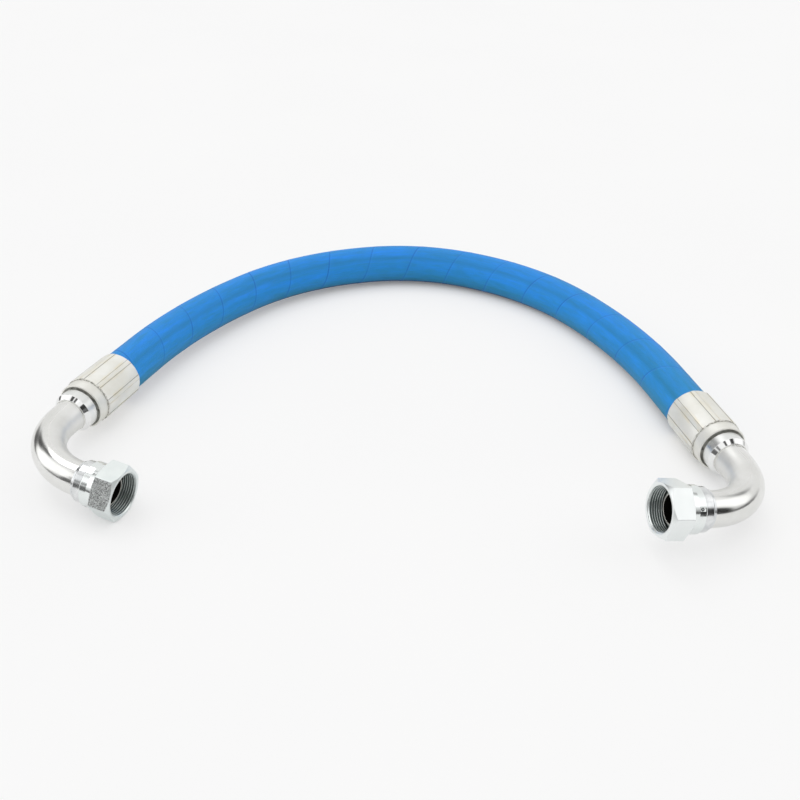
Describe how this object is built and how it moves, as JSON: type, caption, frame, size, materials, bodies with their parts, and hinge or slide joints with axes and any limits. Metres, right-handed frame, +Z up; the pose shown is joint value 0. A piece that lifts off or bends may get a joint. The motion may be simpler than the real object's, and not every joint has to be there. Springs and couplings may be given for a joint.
{
  "type": "hydraulic hose assembly",
  "caption": "Wire-braided hydraulic hose lying in an arch, with a crimped swept elbow and a swivel nut for a cone joint on each end.",
  "frame": {"origin": "on the floor under the middle of the two fittings' bounding box, the hose left out of that box", "axes": "+X from the left fitting to the right fitting, +Y towards the crown of the arch, +Z up from the floor that the assembly lies on"},
  "size_m": [0.5918, 0.4839, 0.0618],
  "materials": {
    "inner_rubber": "matt black synthetic rubber",
    "cover_rubber": "bright blue rubber with a wrapped-cloth impression",
    "braid_wire": "brass-coated high-tensile wire",
    "ferrule_zinc": "matt zinc plating",
    "tube_zinc": "bright zinc plating",
    "turned_zinc": "bright zinc plating on turned steel",
    "nut_zinc": "satin zinc plating",
    "braze": "zinc-plated brass filler",
    "seal_rubber": "smooth black rubber",
    "spring_wire": "drawn wire"
  },
  "bodies": {
    "hose_assembly": {"hose_inner_tube": "inner_rubber", "hose_inner_braid": "braid_wire", "hose_middle_rubber": "inner_rubber", "hose_outer_braid": "braid_wire", "hose_cover": "cover_rubber", "left_ferrule": "ferrule_zinc", "left_hose_tail": "turned_zinc", "left_elbow_tube": "tube_zinc", "left_braze_fillets": "braze", "left_cone_nipple": "turned_zinc", "left_seal_ring": "seal_rubber", "left_thrust_wire": "spring_wire", "right_ferrule": "ferrule_zinc", "right_hose_tail": "turned_zinc", "right_elbow_tube": "tube_zinc", "right_braze_fillets": "braze", "right_cone_nipple": "turned_zinc", "right_seal_ring": "seal_rubber", "right_thrust_wire": "spring_wire"},
    "left_nut": {"left_swivel_nut": "nut_zinc"},
    "right_nut": {"right_swivel_nut": "nut_zinc"}
  },
  "joints": [
    {"name": "left_nut_swivel", "type": "hinge", "parent": "hose_assembly", "child": "left_nut", "pos_m": [-0.20856, -0.0666, 0.02093], "axis": [0.9525, -0.2802, -0.1192], "continuous": true},
    {"name": "right_nut_swivel", "type": "hinge", "parent": "hose_assembly", "child": "right_nut", "pos_m": [0.20905, -0.07671, 0.03827], "axis": [-0.9474, -0.2745, 0.1645], "continuous": true}
  ]
}
